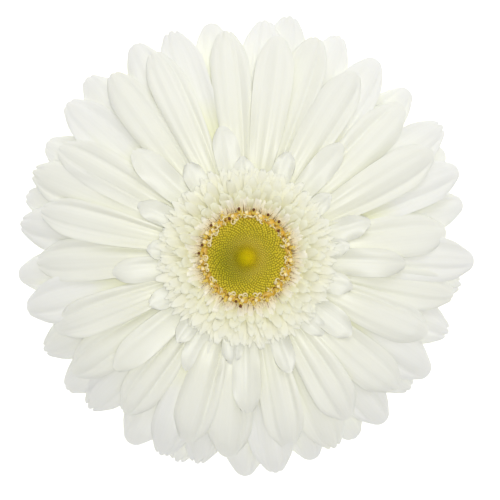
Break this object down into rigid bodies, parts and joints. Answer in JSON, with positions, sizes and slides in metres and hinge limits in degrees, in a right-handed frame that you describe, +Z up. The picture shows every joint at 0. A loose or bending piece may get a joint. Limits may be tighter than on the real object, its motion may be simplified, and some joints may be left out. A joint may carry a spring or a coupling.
{
  "type": "gerbera daisy head",
  "caption": "White gerbera daisy head with layered petals, a frilled cream ring and a green disc, cut close under its bracts to lie face up.",
  "frame": {"origin": "middle of the head's footprint, on the surface that it rests on; the stem's axis is beside it, because one side of the head reaches further", "axes": "+Z up, out of the flower's face; +Y towards the side of the head that is the top of the picture, +X towards its right side"},
  "size_m": [0.1162, 0.1162, 0.0232],
  "materials": {
    "petal_white": "soft, thin white petals, faintly green and yellow towards their roots",
    "trans_cream": "soft cream florets",
    "open_floret_gold": "golden floret tubes with cream lips and dark specks",
    "disc_green": "yellow green closed buds",
    "bract_green": "matt green with fine hairs",
    "stem_green": "matt green with fine hairs and a paler cut end"
  },
  "bodies": {
    "root": {"ray_florets": "petal_white", "trans_florets": "trans_cream", "open_florets": "open_floret_gold", "disc_buds": "disc_green", "bracts": "bract_green", "stem": "stem_green"}
  },
  "joints": []
}
